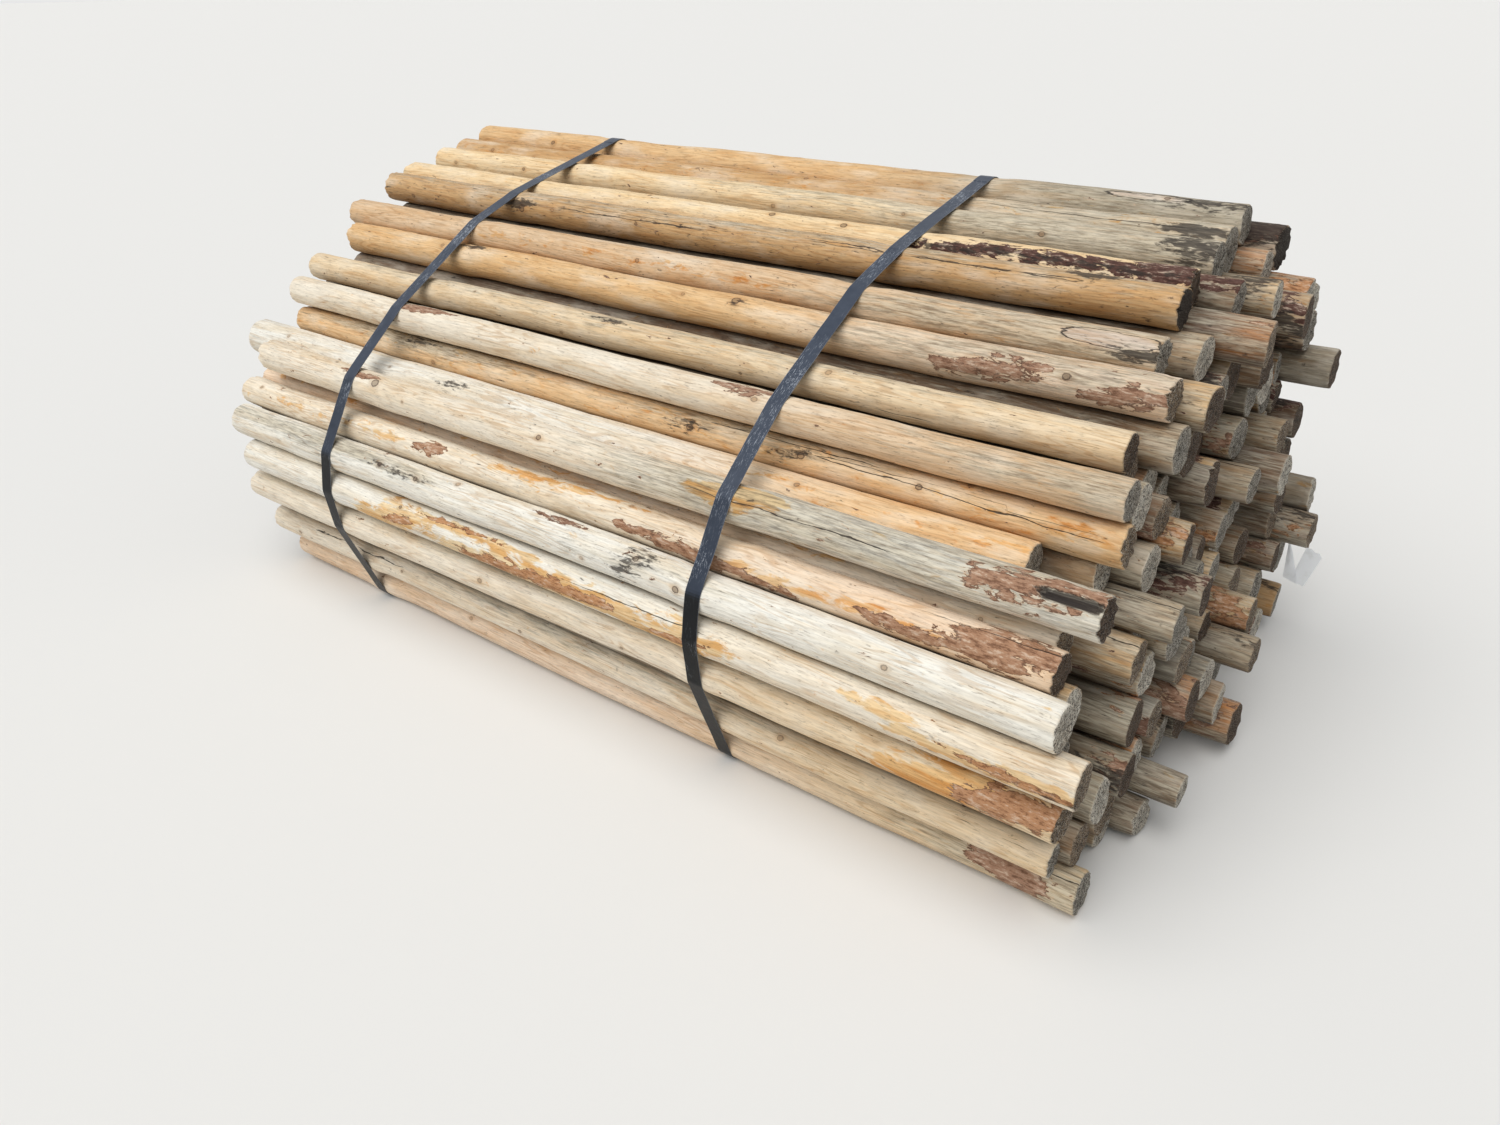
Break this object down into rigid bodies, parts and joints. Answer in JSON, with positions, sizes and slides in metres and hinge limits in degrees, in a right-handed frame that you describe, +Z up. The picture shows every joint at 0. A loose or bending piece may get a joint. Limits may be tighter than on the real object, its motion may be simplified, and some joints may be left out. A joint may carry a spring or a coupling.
{
  "type": "strapped bundle of fence posts",
  "caption": "Loaf-shaped bundle of peeled round softwood fence posts lying on the ground, held by two flat steel straps with crimped seals.",
  "frame": {"origin": "on the ground under the middle of the bundle's box", "axes": "+X along the posts towards the near end, which has the tag; +Y across the bundle away from the front flank; +Z up"},
  "size_m": [2.7272, 1.4858, 1.1077],
  "materials": {
    "post_wood": "peeled, weathered softwood with knots and bark remnants",
    "strap_steel": "black painted, semi-gloss, scuffed",
    "seal_steel": "bright zinc-coated, crimped",
    "tag_card": "matt white card, creased"
  },
  "bodies": {
    "root": {"post_layer_01": "post_wood", "post_layer_02": "post_wood", "post_layer_03": "post_wood", "post_layer_04": "post_wood", "post_layer_05": "post_wood", "post_layer_06": "post_wood", "post_layer_07": "post_wood", "post_layer_08": "post_wood", "post_layer_09": "post_wood", "post_layer_10": "post_wood", "post_layer_11": "post_wood", "post_layer_12": "post_wood", "post_layer_13": "post_wood", "post_layer_14": "post_wood", "strap_near": "strap_steel", "strap_far": "strap_steel", "seals_near": "seal_steel", "seals_far": "seal_steel", "tag": "tag_card"}
  },
  "joints": []
}
